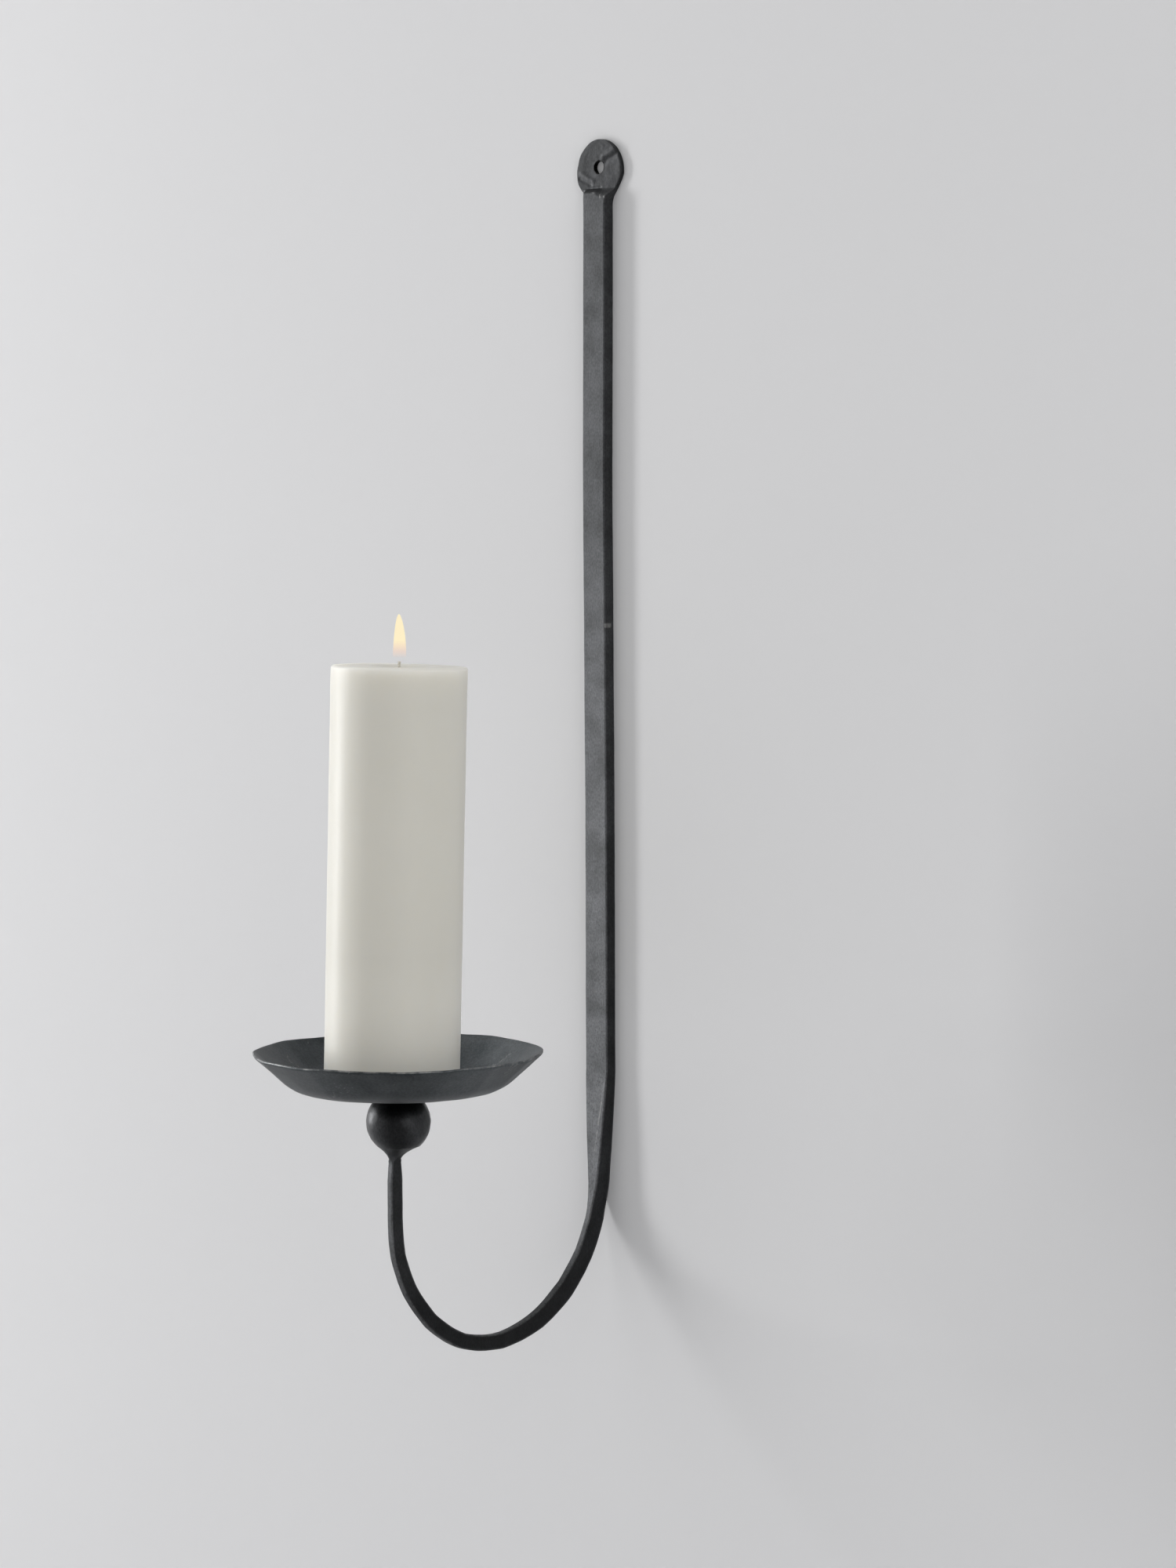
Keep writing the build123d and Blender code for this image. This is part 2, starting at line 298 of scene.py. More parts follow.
class StageSettings(bpy.types.PropertyGroup):
    """Backdrop, light and camera."""
    paint: bpy.props.FloatVectorProperty(
        name="Paint", description="Backdrop and floor", size=4, subtype="COLOR",
        default=linear("d2d2d3"))
    sky: bpy.props.FloatVectorProperty(
        name="Surroundings", description="What lies past the backdrop", size=4, subtype="COLOR",
        default=linear("f0f0f0"))
    ambient: bpy.props.FloatProperty(
        name="Ambient", description="Strength of the even light", default=0.88)
    key_power: bpy.props.FloatProperty(
        name="Key power", description="Power of the soft key light", default=59.0, unit="POWER")
    key_azimuth: bpy.props.FloatProperty(
        name="Key azimuth", description="Side that the key comes from", default=radians(-69), subtype="ANGLE")
    key_height: bpy.props.FloatProperty(
        name="Key elevation", description="Height that the key comes from",
        default=radians(9), subtype="ANGLE")
    key_size: bpy.props.FloatVectorProperty(
        name="Key size", description="Width and height of the key light", size=2,
        default=(0.42, 1.9), unit="LENGTH")
    fill_power: bpy.props.FloatProperty(
        name="Fill power", description="Power of the broad fill light", default=25.0, unit="POWER")
    fill_azimuth: bpy.props.FloatProperty(
        name="Fill azimuth", description="Side that the fill comes from",
        default=radians(70), subtype="ANGLE")
    fill_height: bpy.props.FloatProperty(
        name="Fill elevation", description="Height that the fill comes from",
        default=radians(15), subtype="ANGLE")
    fill_size: bpy.props.FloatVectorProperty(
        name="Fill size", description="Width and height of the fill light", size=2,
        default=(2.0, 2.8), unit="LENGTH")
    room_share: bpy.props.FloatProperty(
        name="Room share", description="Share of the even light that comes from the camera's side",
        default=0.4, min=0.0, max=1.0, subtype="FACTOR")
    light_distance: bpy.props.FloatProperty(
        name="Light distance", description="Lights to the sconce", default=3.0, unit="LENGTH")
    camera_place: bpy.props.FloatVectorProperty(
        name="Camera place", description="Place of the lens", size=3, subtype="TRANSLATION",
        default=(1.43811, -1.55511, -0.18588))
    camera_azimuth: bpy.props.FloatProperty(
        name="Camera azimuth", description="Turn to the side", default=radians(43), subtype="ANGLE")
    camera_pitch: bpy.props.FloatProperty(
        name="Camera pitch", description="Tilt downwards", default=radians(3.92), subtype="ANGLE")
    camera_roll: bpy.props.FloatProperty(
        name="Camera roll", description="Turn about the view", default=radians(-0.2), subtype="ANGLE")
    lens: bpy.props.FloatProperty(
        name="Lens", description="Focal length on a 36 mm long side", default=90.0, unit="CAMERA")


# Mesh tools

def smooth(start, end, value):
    """Share from 0 to 1, eased at both ends, of the way from start to end."""
    share = np.clip((value - start) / (end - start), 0, 1)
    return share * share * (3 - 2 * share)


def blend(start, end, share):
    """Value between start and end, held at the ends."""
    return start + (end - start) * min(max(share, 0), 1)


def ring(middle, radius, points, across=ACROSS, along=-OFF_WALL):
    """Circle of points about a middle, as rows of x, y, z."""
    turn = np.linspace(0, tau, points, endpoint=False)[:, None]
    return np.array(middle) + radius * (np.cos(turn) * np.array(across) + np.sin(turn) * np.array(along))


def skin(name, rings, wear_and_glints=None, tone=None, closed=False):
    """Object whose surface joins a row of rings. Open ends are capped; a closed row joins its last ring
    to its first. Wear with painted glints, and painted light and shade, one value a point, are kept
    for the material."""
    rings = np.asarray(rings, float)
    wear_and_glints = np.zeros(rings.shape[:2]) if wear_and_glints is None else wear_and_glints
    tone = np.ones(rings.shape[:2]) if tone is None else tone
    if not closed:
        first, last = (np.broadcast_to(end.mean(axis=0), end.shape)[None] for end in (rings[0], rings[-1]))
        rings = np.concatenate((first, rings, last))
        wear_and_glints, tone = (np.pad(values, ((1, 1), (0, 0)), "edge") for values in (wear_and_glints, tone))
    corner = np.arange(rings.shape[0] * rings.shape[1]).reshape(rings.shape[:2])
    upper = np.roll(corner, -1, axis=0)
    if not closed:
        corner, upper = corner[:-1], upper[:-1]
    quads = np.stack((corner, np.roll(corner, -1, axis=1), np.roll(upper, -1, axis=1), upper), axis=-1)
    mesh = bpy.data.meshes.new(name)
    mesh.from_pydata(rings.reshape(-1, 3).tolist(), [], quads.reshape(-1, 4).tolist())
    for kind, values in (("edge_wear", wear_and_glints), ("tone", tone)):
        layer = mesh.attributes.new(kind, "FLOAT", "POINT")
        layer.data.foreach_set("value", values.ravel().astype(np.float32))
    shape = bmesh.new()
    shape.from_mesh(mesh)
    bmesh.ops.remove_doubles(shape, verts=shape.verts, dist=WELD)
    bmesh.ops.recalc_face_normals(shape, faces=shape.faces)
    shape.to_mesh(mesh)
    shape.free()
    piece = bpy.data.objects.new(name, mesh)
    bpy.context.scene.collection.objects.link(piece)
    return piece


def strike(piece, lift):
    """Moves each point of a piece along its normal by what lift gives for its place and normal."""
    places = [vertex.co.copy() for vertex in piece.data.vertices]
    normals = [vertex.normal.copy() for vertex in piece.data.vertices]
    for vertex, place, normal in zip(piece.data.vertices, places, normals):
        vertex.co = place + normal * lift(place, normal)
    piece.data.update()


def ripple(lane, distance, span):
    """Unevenness along a length, from -1 to 1, that changes over a span. Each lane has its own."""
    return noise.noise(Vector((lane, 0, distance / span)))


def hammer(place, mark):
    """Dish that each blow leaves, low in its middle and high at its rim, about 0 on the whole."""
    return min(noise.voronoi(place / mark)[0][0] ** 2, 1) - 0.33


def finish_piece(piece, material, body, node):
    """Shades a piece, gives it its material, and puts it on its body in place of its CAD node."""
    piece.data.materials.append(material)
    piece.data.shade_smooth()
    piece.data.set_sharp_from_angle(angle=SHARP_EDGE)
    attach(piece, body)
    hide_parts(node)


# Material tools

def add_node(tree, kind, settings=None, links=None):
    """Adds a node, sets its properties, sockets or colour ramp, links its inputs and returns it."""
    node = tree.nodes.new("ShaderNode" + kind)
    for name, value in (settings or {}).items():
        if name == "ramp":
            while len(node.color_ramp.elements) < len(value):
                node.color_ramp.elements.new(0.5)
            for element, (position, colour) in zip(node.color_ramp.elements, value):
                element.position = position
                element.color = colour
        elif isinstance(name, int) or name in node.inputs:
            node.inputs[name].default_value = value
        else:
            setattr(node, name, value)
    for name, source in (links or {}).items():
        tree.links.new(source, node.inputs[name])
    return node


def start_material(name):
    """New material with an empty node tree."""
    material = bpy.data.materials.new(name)
    material.use_nodes = True
    material.node_tree.nodes.clear()
    return material, material.node_tree


def per_size(millimetres):
    """Texture scale at which one feature has this size."""
    return 1 / (millimetres * MM)


# Materials

# Forged iron, blackened in the fire and waxed. It looks dark and satin, with a fine grain, small scale pits
# that lie closer together lower down the bar, bright steel where an edge has worn, and painted glints and
# highlights of bright steel. Painted light and shade lighten or darken it point by point. The grain is drawn
# coarser than the real one, which is too fine to show.
def forged_iron(name, finish, smoothest, roughest):
    material, tree = start_material(name)
    place = add_node(tree, "TexCoord").outputs["Object"]
    drawn = add_node(tree, "Mapping", {"Scale": (1, 1, 0.6)}, {"Vector": place}).outputs[0]
    tone = add_node(tree, "Attribute", {"attribute_name": "tone"}).outputs["Fac"]
    edge = add_node(tree, "Attribute", {"attribute_name": "edge_wear"}).outputs["Fac"]

    cloud = add_node(tree, "TexNoise", {"Scale": per_size(16), "Detail": 4, "Roughness": 0.6},
                     {"Vector": place}).outputs[0]
    oxide = add_node(tree, "ValToRGB", {"ramp": [(0.32, finish.oxide_dark), (0.68, finish.oxide_light)]},
                     {"Fac": cloud}).outputs[0]
    grain = add_node(tree, "TexNoise", {"Scale": per_size(0.9), "Detail": 3, "Roughness": 0.6},
                     {"Vector": drawn}).outputs[0]
    specks = add_node(tree, "MapRange", {"From Min": 0.3, "From Max": 0.7, "To Min": 0.75, "To Max": 1.25},
                      {"Value": grain}).outputs[0]
    # Grain specks times the painted light and shade kept on each point
    shade = add_node(tree, "Math", {"operation": "MULTIPLY"}, {0: specks, 1: tone}).outputs[0]
    speckled_and_painted = add_node(tree, "VectorMath", {"operation": "SCALE"}, {0: oxide, "Scale": shade}).outputs[0]

    scale = add_node(tree, "TexNoise", {"Scale": per_size(0.8), "Detail": 4, "Roughness": 0.6},
                     {"Vector": drawn}).outputs[0]
    coordinates = add_node(tree, "SeparateXYZ", links={0: place}).outputs
    lower = add_node(tree, "MapRange",
                     {"From Min": -150 * MM, "From Max": -420 * MM, "To Min": 0.0, "To Max": 0.06},
                     {"Value": coordinates["Z"]}).outputs[0]
    scaled = add_node(tree, "Math", {"operation": "SUBTRACT"}, {0: scale, 1: lower}).outputs[0]
    pitted = add_node(tree, "MapRange", {"From Min": 0.36, "From Max": 0.3, "To Min": 0.0},
                      {"Value": scaled}).outputs[0]
    at_wall = add_node(tree, "MapRange",
                       {"From Min": -30 * MM, "From Max": -15 * MM, "To Min": 0.0, "To Max": 0.42},
                       {"Value": coordinates["Y"]}).outputs[0]
    pits = add_node(tree, "Math", {"operation": "MULTIPLY"}, {0: pitted, 1: at_wall}).outputs[0]
    aged = add_node(tree, "MixRGB", {"Color2": finish.pit}, {"Fac": pits, "Color1": speckled_and_painted}).outputs[0]

    rub = add_node(tree, "TexNoise", {"Scale": per_size(3.0), "Detail": 4, "Roughness": 0.7},
                   {"Vector": place}).outputs[0]
    # Worn places and painted glints and highlights, all drawn as bright steel
    worn_and_lit = add_node(tree, "Math", {"operation": "MULTIPLY"}, {0: edge, 1: rub}).outputs[0]
    worn_and_glinting = add_node(tree, "MapRange", {"From Min": 0.1, "From Max": 0.6, "To Min": 0.0, "To Max": 0.9},
                    {"Value": worn_and_lit}).outputs[0]
    colour = add_node(tree, "MixRGB", {"Color2": finish.steel}, {"Fac": worn_and_glinting, "Color1": aged}).outputs[0]

    satin = add_node(tree, "MapRange",
                     {"From Min": 0.3, "From Max": 0.7, "To Min": smoothest, "To Max": roughest},
                     {"Value": cloud}).outputs[0]
    relief = add_node(tree, "Math", {"operation": "SUBTRACT"}, {0: grain, 1: pits}).outputs[0]
    bump = add_node(tree, "Bump", {"Strength": 0.3, "Distance": 0.1 * MM}, {"Height": relief}).outputs[0]
    shader = add_node(tree, "BsdfPrincipled", {"Metallic": 1.0},
                      {"Base Color": colour, "Roughness": satin, "Normal": bump})
    add_node(tree, "OutputMaterial", links={"Surface": shader.outputs[0]})
    return material


# Iron sheet, hammered hollow, blackened and waxed. It looks dark and satin, with soft patches from the
# hammer, sparse pale specks, and a thin bright line along the rim, partly worn steel and partly a painted
# highlight. Painted light and shade lighten its two ends and darken its middle.
def sheet_iron(finish):
    material, tree = start_material("Iron_sheet_hammered_waxed")
    place = add_node(tree, "TexCoord").outputs["Object"]
    tone = add_node(tree, "Attribute", {"attribute_name": "tone"}).outputs["Fac"]
    edge = add_node(tree, "Attribute", {"attribute_name": "edge_wear"}).outputs["Fac"]

    cloud = add_node(tree, "TexNoise", {"Scale": per_size(20), "Detail": 5, "Roughness": 0.6},
                     {"Vector": place}).outputs[0]
    oxide = add_node(tree, "ValToRGB", {"ramp": [(0.32, finish.sheet_dark), (0.7, finish.sheet_light)]},
                     {"Fac": cloud}).outputs[0]
    grain = add_node(tree, "TexNoise", {"Scale": per_size(1.3), "Detail": 4, "Roughness": 0.7},
                     {"Vector": place}).outputs[0]
    specks = add_node(tree, "MapRange", {"From Min": 0.3, "From Max": 0.7, "To Min": 0.75, "To Max": 1.25},
                      {"Value": grain}).outputs[0]
    # Grain specks times the painted light and shade kept on each point
    shade = add_node(tree, "Math", {"operation": "MULTIPLY"}, {0: specks, 1: tone}).outputs[0]
    speckled_and_painted = add_node(tree, "VectorMath", {"operation": "SCALE"}, {0: oxide, "Scale": shade}).outputs[0]

    fleck = add_node(tree, "TexNoise", {"Scale": per_size(2.2), "Detail": 3, "Roughness": 0.6},
                     {"Vector": place}).outputs[0]
    gather = add_node(tree, "TexNoise", {"Scale": per_size(26), "Detail": 2}, {"Vector": place}).outputs[0]
    flecked = add_node(tree, "Math", {"operation": "MULTIPLY"}, {0: fleck, 1: gather}).outputs[0]
    flecks = add_node(tree, "MapRange", {"From Min": 0.37, "From Max": 0.43, "To Min": 0.0, "To Max": 0.22},
                      {"Value": flecked}).outputs[0]
    rub = add_node(tree, "TexNoise", {"Scale": per_size(12), "Detail": 5, "Roughness": 0.7},
                   {"Vector": place}).outputs[0]
    # The rim's crest, worn steel and a painted highlight, drawn as bright steel
    worn_and_lit = add_node(tree, "Math", {"operation": "MULTIPLY"}, {0: edge, 1: rub}).outputs[0]
    rim = add_node(tree, "MapRange", {"From Min": 0.4, "From Max": 0.62, "To Min": 0.0, "To Max": 0.65},
                   {"Value": worn_and_lit}).outputs[0]
    worn_and_glinting = add_node(tree, "Math", {"operation": "MAXIMUM"}, {0: rim, 1: flecks}).outputs[0]
    colour = add_node(tree, "MixRGB", {"Color2": finish.steel}, {"Fac": worn_and_glinting, "Color1": speckled_and_painted}).outputs[0]

    satin = add_node(tree, "MapRange", {"From Min": 0.3, "From Max": 0.7, "To Min": 0.4, "To Max": 0.5},
                     {"Value": cloud}).outputs[0]
    bump = add_node(tree, "Bump", {"Strength": 0.3, "Distance": 0.1 * MM}, {"Height": grain}).outputs[0]
    shader = add_node(tree, "BsdfPrincipled", {"Metallic": 1.0},
                      {"Base Color": colour, "Roughness": satin, "Normal": bump})
    add_node(tree, "OutputMaterial", links={"Surface": shader.outputs[0]})
    return material


# Paraffin wax, cast in a mould. It looks pale ivory, and light sinks into it. It has a soft sheen along the
# side that faces the light, faint clouds, painted light that makes the foot paler, and a skin that is a
# little uneven.
def cast_wax(finish):
    material, tree = start_material("Paraffin_wax_cast")
    place = add_node(tree, "TexCoord").outputs["Object"]
    height = add_node(tree, "SeparateXYZ", links={0: place}).outputs["Z"]

    cloud = add_node(tree, "TexNoise", {"Scale": per_size(50), "Detail": 3, "Roughness": 0.5},
                     {"Vector": place}).outputs[0]
    body = add_node(tree, "ValToRGB", {"ramp": [(0.2, finish.wax_cloud), (0.8, finish.wax)]},
                    {"Fac": cloud}).outputs[0]
    # Painted light, paler towards the foot
    low = add_node(tree, "MapRange", {"From Min": CANDLE_LOW.z + 70 * MM, "From Max": CANDLE_LOW.z},
                   {"Value": height}).outputs[0]
    colour = add_node(tree, "MixRGB", {"Color2": finish.wax_foot_painted_light}, {"Fac": low, "Color1": body}).outputs[0]

    sheen = add_node(tree, "MapRange", {"From Min": 0.2, "From Max": 0.8, "To Min": 0.4, "To Max": 0.48},
                     {"Value": cloud}).outputs[0]
    uneven = add_node(tree, "TexNoise", {"Scale": per_size(5), "Detail": 3, "Roughness": 0.5},
                      {"Vector": place}).outputs[0]
    bump = add_node(tree, "Bump", {"Strength": 0.15, "Distance": 0.2 * MM}, {"Height": uneven}).outputs[0]
    shader = add_node(tree, "BsdfPrincipled",
                      {"IOR": 1.44, "Subsurface Weight": 1.0, "Subsurface Radius": (1.0, 0.94, 0.85),
                       "Subsurface Scale": 20 * MM},
                      {"Base Color": colour, "Roughness": sheen, "Normal": bump})
    add_node(tree, "OutputMaterial", links={"Surface": shader.outputs[0]})
    return material


# Cotton, twisted from three strands, waxed and burnt at the tip. The tip is painted pale, partly ash and
# partly the flame's glow painted on. It shows as a short pale stub that is almost lost in the flame.
def waxed_cotton(finish, char_from, char_to):
    material, tree = start_material("Cotton_wick_twisted_waxed")
    place = add_node(tree, "TexCoord").outputs["Object"]
    height = add_node(tree, "SeparateXYZ", links={0: place}).outputs["Z"]
    burnt_and_glowing = add_node(tree, "MapRange", {"From Min": char_from, "From Max": char_to},
                     {"Value": height}).outputs[0]
    body = add_node(tree, "MixRGB", {"Color1": finish.cotton, "Color2": finish.ash_and_glow},
                    {"Fac": burnt_and_glowing}).outputs[0]
    fibre = add_node(tree, "TexNoise", {"Scale": per_size(0.5), "Detail": 3}, {"Vector": place}).outputs[0]
    shade = add_node(tree, "MapRange", {"From Min": 0.3, "From Max": 0.7, "To Min": 0.7, "To Max": 1.2},
                     {"Value": fibre}).outputs[0]
    colour = add_node(tree, "VectorMath", {"operation": "SCALE"}, {0: body, "Scale": shade}).outputs[0]
    bump = add_node(tree, "Bump", {"Strength": 0.5, "Distance": 0.1 * MM}, {"Height": fibre}).outputs[0]
    shader = add_node(tree, "BsdfPrincipled", {"Roughness": 0.85, "IOR": 1.45},
                      {"Base Color": colour, "Normal": bump})
    add_node(tree, "OutputMaterial", links={"Surface": shader.outputs[0]})
    return material


# Glowing soot in the flame. It shows as a pale yellow light that is clear at the foot.
def glowing_soot(finish, foot, tip):
    material, tree = start_material("Candle_flame_glowing_soot")
    place = add_node(tree, "TexCoord").outputs["Object"]
    height = add_node(tree, "SeparateXYZ", links={0: place}).outputs["Z"]
    share = add_node(tree, "MapRange", {"From Min": foot, "From Max": tip}, {"Value": height}).outputs[0]
    glow = add_node(tree, "ValToRGB", {"ramp": [(0.28, finish.flame_foot), (0.5, finish.flame)]},
                    {"Fac": share}).outputs[0]
    body = add_node(tree, "MapRange", {"From Min": 0.16, "From Max": 0.5, "To Min": 0.0, "To Max": 1.0},
                    {"Value": share}).outputs[0]
    shader = add_node(tree, "BsdfPrincipled",
                      {"Base Color": linear("000000"), "Roughness": 1.0, "Specular IOR Level": 0.0,
                       "Emission Strength": 1.0},
                      {"Emission Color": glow, "Alpha": body})
    add_node(tree, "OutputMaterial", links={"Surface": shader.outputs[0]})
    return material


# Matt wall paint, rolled. It is a plain pale backdrop, seen from the room's side only.
def matt_paint(stage):
    material, tree = start_material("Wall_paint_matt")
    front = add_node(tree, "BsdfPrincipled", {"Base Color": stage.paint, "Roughness": 0.9})
    behind = add_node(tree, "BsdfTransparent")
    facing = add_node(tree, "NewGeometry").outputs["Backfacing"]
    shown = add_node(tree, "MixShader", links={0: facing, 1: front.outputs[0], 2: behind.outputs[0]})
    add_node(tree, "OutputMaterial", links={"Surface": shown.outputs[0]})
    return material


# Forged bar

Station = namedtuple("Station", "middle outward width depth corner")
Stroke = namedtuple("Stroke", "start end spread depth")
FACE_POINTS = 34
SIDE_POINTS = 8
CORNER_POINTS = 4
EYE_STEPS = 30
STEP = 1.2 * MM
BEND_FLATS = 10
LONG_FLAT = radians(140)
LONG_FLAT_SPREAD = radians(22)
SHOULDER_SKEW = 2.4 * MM
EYE_WANDER = 0.25 * MM
SWAY = 0.15 * MM
CORNER_WANDER = 0.35

# Heights between which the straight bar's marks give way to the hook's
HOOK_FADE = (-500 * MM, -560 * MM)

# Marks that the hammer left on the eye, as x and z of both ends in millimetres: a groove from the hole to the
# edge, creases and folds along the lower edge, and two raised ridges
EYE_STROKES = (
    Stroke((4, 3.0), (14, 7.0), 1.2, 0.7),
    Stroke((3, 5.5), (13, 9.5), 1.4, -0.45),
    Stroke((-13, -2.5), (-4, -7.0), 1.1, -0.45),
    Stroke((-14, -5.5), (-6, -9.0), 0.9, 0.4),
    Stroke((-14, -10.4), (1, -10.8), 0.7, 0.35),
)

# Places painted as bright steel, as x and z of both ends in millimetres: painted glints along the shoulder's
# edge, a worn nick half-way down the bar, and painted streaks of highlight where the bar is drawn out
GLINT_AND_WEAR_STROKES = (
    Stroke((-1.6, -13.6), (0.4, -13.8), 0.3, 0.7),
    Stroke((4.2, -15.0), (4.8, -16.4), 0.45, 0.7),
    Stroke((7.5, -15.6), (7.6, -16.6), 0.4, 0.7),
    Stroke((7.5, -244.6), (7.6, -245.6), 0.7, 1.0),
    Stroke((6.0, -492), (4.6, -504), 0.6, 0.35),
    Stroke((4.6, -504), (2.8, -516), 0.6, 0.55),
    Stroke((2.4, -519), (0.9, -530), 0.9, 0.4),
)


def stroked(strokes, x, z):
    """Sum of strokes at x and z, each its depth along its line and fading to the sides."""
    total = 0
    for stroke in strokes:
        start, end = np.array(stroke.start) * MM, np.array(stroke.end) * MM
        run = end - start
        along = np.clip(((x - start[0]) * run[0] + (z - start[1]) * run[1]) / (run @ run), 0, 1)
        away = np.hypot(x - start[0] - along * run[0], z - start[1] - along * run[1])
        total = total + stroke.depth * np.exp(-(away / (stroke.spread * MM)) ** 2)
    return total


def dip(share):
    """Depth across flats that follow one another: 0 at each kink and 1 in the middle of each flat."""
    return 4 * (share % 1) * (1 - share % 1)


def section(width, depth, corner):
    """Rounded rectangle as points across and outward, starting at its outer right corner."""
    corner = min(corner, 0.49 * width, 0.49 * depth)
    turn = np.linspace(0, pi / 2, CORNER_POINTS)
    points = []
    for quarter, (side, out) in enumerate(((1, 1), (-1, 1), (-1, -1), (1, -1))):
        angle = turn + quarter * pi / 2
        middle = np.array((side * (width / 2 - corner), out * (depth / 2 - corner)))
        arc = middle + corner * np.stack((np.cos(angle), np.sin(angle)), axis=-1)
        run = width - 2 * corner if quarter % 2 == 0 else depth - 2 * corner
        ahead = np.array(((-1, 0), (0, -1), (1, 0), (0, 1))[quarter])
        count = FACE_POINTS if quarter % 2 == 0 else SIDE_POINTS
        steps = np.linspace(0, run, count + 2)[1:-1, None]
        points += [arc, arc[-1] + steps * ahead]
    return np.concatenate(points)


def by_face(corner, face, side):
    """One value for each point of a section: on its corners, on its front and back, and on its sides."""
    values = []
    for count, value in ((FACE_POINTS, face), (SIDE_POINTS, side)) * 2:
        values += [corner] * CORNER_POINTS + [value] * count
    return np.array(values)


def shoulder_depth(bar, x, z):
    """Thickness of the eye and the bar's top. The shoulder between them lies lower on the right, and on the
    left it ends at the bar's edge."""
    skew = SHOULDER_SKEW * smooth(0.5 * MM, 5 * MM, x)
    foot = -bar.shoulder_drop - bar.shoulder_length + MM - skew
    down = smooth(-bar.shoulder_drop + 0.5 * MM, foot, z)
    across = smooth(-0.7 * bar.bar_width, -0.5 * bar.bar_width, x)
    return bar.eye_thick + (bar.bar_thick - bar.eye_thick) * (down * across)


def eye_stations(bar):
    """Stations from the top of the eye down to where its right flank runs out into the bar."""
    rise, half = BAR_HIGH.z, BAR_HIGH.x
    crown, jowl = rise + bar.eye_belly, bar.eye_drop - bar.eye_belly
    flank = half - bar.bar_width / 2
    heights = [crown * cos(pi / 2 * step / EYE_STEPS) - bar.eye_belly for step in range(1, EYE_STEPS)]
    heights += list(np.arange(-bar.eye_belly, -bar.neck_drop, -0.5 * MM))
    for height in heights:
        below = -height - bar.eye_belly
        if below < 0:
            left = right = half * (1 - (below / crown) ** 2) ** 0.5
        else:
            left = bar.bar_width / 2 + flank * max(1 - (below / jowl) ** 2, 0) ** 0.5
            right = half - flank * float(smooth(-bar.eye_belly, -bar.neck_drop, height))
        left += EYE_WANDER * ripple(7.5, height, 5 * MM)
        right += EYE_WANDER * ripple(9.5, height, 5 * MM)
        depth = shoulder_depth(bar, 0, height)
        middle = Vector(((right - left) / 2, -depth / 2, height))
        yield Station(middle, OFF_WALL, left + right, depth, bar.corner)


def bar_stations(bar):
    """Stations down the straight bar."""
    for height in np.arange(-bar.neck_drop, bar.draw_straight - bar.bend_drop, -STEP):
        bow = bar.bow * exp(-((height - bar.bow_place) / (90 * MM)) ** 2)
        sway = SWAY * ripple(0.5, height, 70 * MM) - bow
        corner = bar.corner * (1 + CORNER_WANDER * ripple(2.5, height, 18 * MM))
        middle = Vector((sway, -bar.bar_thick / 2, height))
        yield Station(middle, OFF_WALL, bar.bar_width, bar.bar_thick, corner)


def strip_stations(bar):
    """Stations down the drawn strip, round the bend and up the limb."""
    limb_mid = ARM_REACH + bar.limb_offset
    entry = bar.bar_thick + (bar.blade_depth - bar.bar_thick) * bar.draw_straight / bar.draw_length
    radius = (limb_mid - entry / 2) / 2
    bend_end = bar.draw_straight + pi * radius
    length = bend_end + bar.limb_rise
    thin_from = bar.draw_straight + radius * bar.thin_start
    thin_to = bar.draw_straight + radius * bar.thin_end
    for distance in np.arange(0, length, STEP):
        past_draw = (distance - bar.draw_length) / (length - bar.draw_length)
        width = blend(bar.blade_width, bar.tip_width, past_draw)
        if distance < bar.draw_length:
            width = blend(bar.bar_width, bar.blade_width, (distance / bar.draw_length) ** bar.draw_ease)
            depth = blend(bar.bar_thick, bar.blade_depth, distance / bar.draw_length)
        elif distance < bend_end:
            depth = blend(bar.blade_depth, bar.limb_depth, (distance - thin_from) / (thin_to - thin_from))
        else:
            depth = blend(bar.tip_depth, bar.limb_depth, (length - distance) / bar.limb_taper)
        turned = min(max((distance - bar.draw_straight) / radius, 0), pi)
        wander = cos(2 * (turned + bar.bend_phase)) - cos(2 * bar.bend_phase)
        flat = bar.bend_flat * exp(-((turned - LONG_FLAT) / LONG_FLAT_SPREAD) ** 2)
        kinks = bar.facet * dip((turned + 0.12 * sin(2 * turned)) * BEND_FLATS / pi)
        reach = radius + bar.bend_wander * wander - flat - kinks
        middle = Vector((0, reach * cos(turned) - limb_mid + radius, -bar.bend_drop - reach * sin(turned)))
        outward = Vector((0, -cos(turned), sin(turned)))
        if distance <= bar.draw_straight:
            middle = Vector((0, -depth / 2, bar.draw_straight - bar.bend_drop - distance))
        elif distance >= bend_end:
            middle = Vector((0, -limb_mid, distance - bend_end - bar.bend_drop))
        corner = bar.corner * (1 + CORNER_WANDER * ripple(4.5, distance, 12 * MM))
        yield Station(middle, outward, width, depth, corner)


def flare_stations(bar):
    """Stations of the flare under the ball and of the tenon in it."""
    foot = BALL_LOW.z
    for share in np.linspace(0, 1, 16):
        spread = share ** 2.2
        reach = blend(ARM_REACH + bar.limb_offset, ARM_REACH, spread)
        middle = Vector((0, -reach, foot - bar.flare_height * (1 - share)))
        width = blend(bar.tip_width, 2 * bar.flare_radius, spread)
        depth = blend(bar.tip_depth, 2 * bar.flare_radius, spread)
        corner = blend(bar.corner, bar.flare_radius, smooth(0.1, 0.7, share))
        yield Station(middle, -OFF_WALL, width, depth, corner)
    for height in (0, bar.tenon_length):
        size = 2 * bar.tenon_radius
        yield Station(Vector((0, -ARM_REACH, foot + height)), -OFF_WALL, size, size, bar.tenon_radius)


